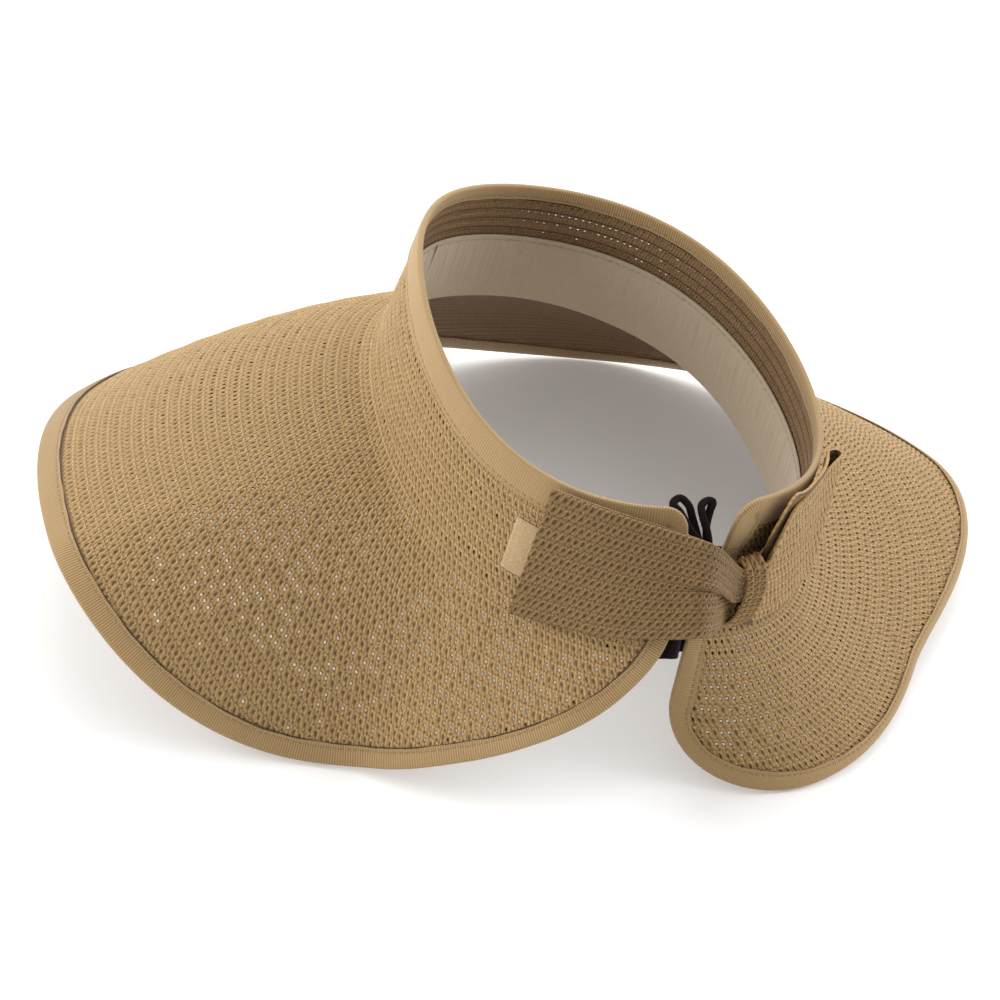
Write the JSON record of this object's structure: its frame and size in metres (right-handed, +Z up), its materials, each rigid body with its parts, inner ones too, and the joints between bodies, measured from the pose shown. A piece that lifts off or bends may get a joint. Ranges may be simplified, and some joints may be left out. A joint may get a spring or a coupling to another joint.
{
  "type": "sun visor",
  "caption": "Roll-up straw sun visor: open crown and wide sewn-braid brim, ribbon edges, and a back bow whose long wing peels open on hook-and-loop tape.",
  "frame": {"origin": "on the surface the visor stands on, under the middle of its box", "axes": "+Z up as it stands on its brim, -Y towards the brim's front, +X towards the wearer's left; the crown's axis leans 6.3 degrees from +Z"},
  "size_m": [0.4164, 0.3124, 0.1629],
  "materials": {
    "straw": "matte sewn paper braid",
    "ribbon": "ribbed grosgrain",
    "sweatband": "matte woven cloth",
    "elastic": "ribbed black elastic",
    "tape": "fuzzy hook-and-loop tape",
    "thread": "sewing thread"
  },
  "bodies": {
    "root": {"bow_knot": "straw", "bow_loop": "straw", "bow_tack": "thread", "brim_binding": "ribbon", "crown_binding": "ribbon", "elastic_band": "elastic", "loop_patch": "tape", "straw_body": "straw", "sweatband": "sweatband", "tie_knot": "elastic", "tie_loop_left": "elastic", "tie_loop_right": "elastic", "tie_strand_left": "elastic", "tie_strand_right": "elastic", "tie_tail_left": "elastic", "tie_tail_right": "elastic"},
    "tab": {"closure_tab": "straw", "hook_patch": "tape"}
  },
  "joints": [
    {"name": "tab_peel", "type": "hinge", "parent": "root", "child": "tab", "pos_m": [-0.01297, 0.13571, 0.09153], "axis": [0.1201, 0.1213, 0.9853], "range_deg": [0, 90]}
  ]
}
